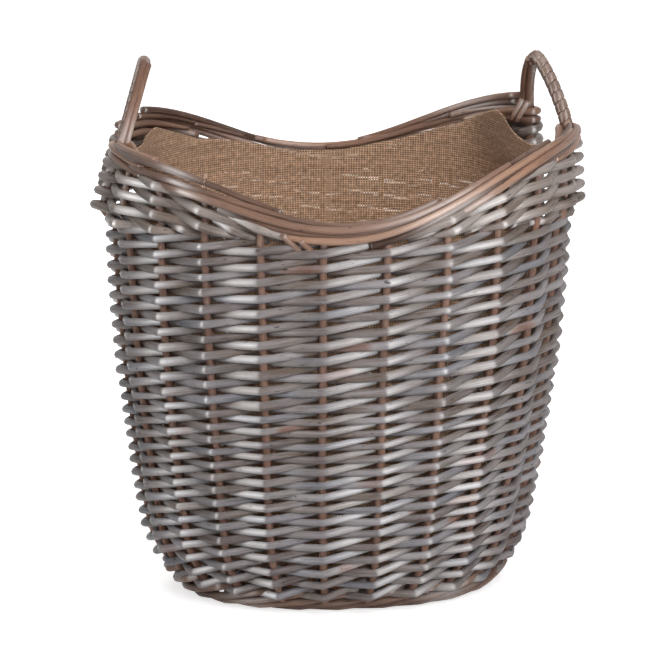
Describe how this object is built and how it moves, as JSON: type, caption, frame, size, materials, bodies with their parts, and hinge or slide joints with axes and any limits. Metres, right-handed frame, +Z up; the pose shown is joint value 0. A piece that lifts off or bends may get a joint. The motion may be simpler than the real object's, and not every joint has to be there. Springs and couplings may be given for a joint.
{
  "type": "lined wicker basket",
  "caption": "Tall oval wicker basket with a rolled rim that dips at front and back, wrapped bow handles at its ends and a hessian lining, for logs, laundry or toys.",
  "frame": {"origin": "on the ground, under the middle of the basket", "axes": "+Z up, +X to the right handle, -Y to the front as pictured"},
  "size_m": [0.4739, 0.3833, 0.5399],
  "materials": {
    "grey_rod": "grey-washed willow rod, satin",
    "brown_rod": "reddish-brown willow rod, satin",
    "border_rod": "warm brown willow rod, satin",
    "handle_wrap": "split willow, grey brown",
    "hessian": "open plain-weave hessian, matte"
  },
  "bodies": {
    "root": {"side_weave_1": "grey_rod", "side_weave_2": "grey_rod", "side_weave_3": "grey_rod", "side_weave_4": "grey_rod", "packing_front_right": "grey_rod", "packing_back_right": "grey_rod", "packing_back_left": "grey_rod", "packing_front_left": "grey_rod", "base_weave": "grey_rod", "stake_01": "brown_rod", "stake_02": "brown_rod", "stake_03": "brown_rod", "stake_04": "brown_rod", "stake_05": "brown_rod", "stake_06": "brown_rod", "stake_07": "brown_rod", "stake_08": "brown_rod", "stake_09": "brown_rod", "stake_10": "brown_rod", "stake_11": "brown_rod", "stake_12": "brown_rod", "stake_13": "brown_rod", "stake_14": "brown_rod", "stake_15": "brown_rod", "stake_16": "brown_rod", "stake_17": "brown_rod", "stake_18": "brown_rod", "stake_19": "brown_rod", "stake_20": "brown_rod", "stake_21": "brown_rod", "stake_22": "brown_rod", "stake_23": "brown_rod", "foot_border": "brown_rod", "base_slath": "brown_rod", "bow_right": "brown_rod", "bow_left": "brown_rod", "front_border_rod_1": "border_rod", "front_border_rod_2": "border_rod", "front_border_rod_3": "border_rod", "front_border_rod_4": "border_rod", "back_border_rod_1": "border_rod", "back_border_rod_2": "border_rod", "back_border_rod_3": "border_rod", "wrapping_right": "handle_wrap", "wrapping_left": "handle_wrap", "lining_wall": "hessian", "lining_base": "hessian"}
  },
  "joints": []
}
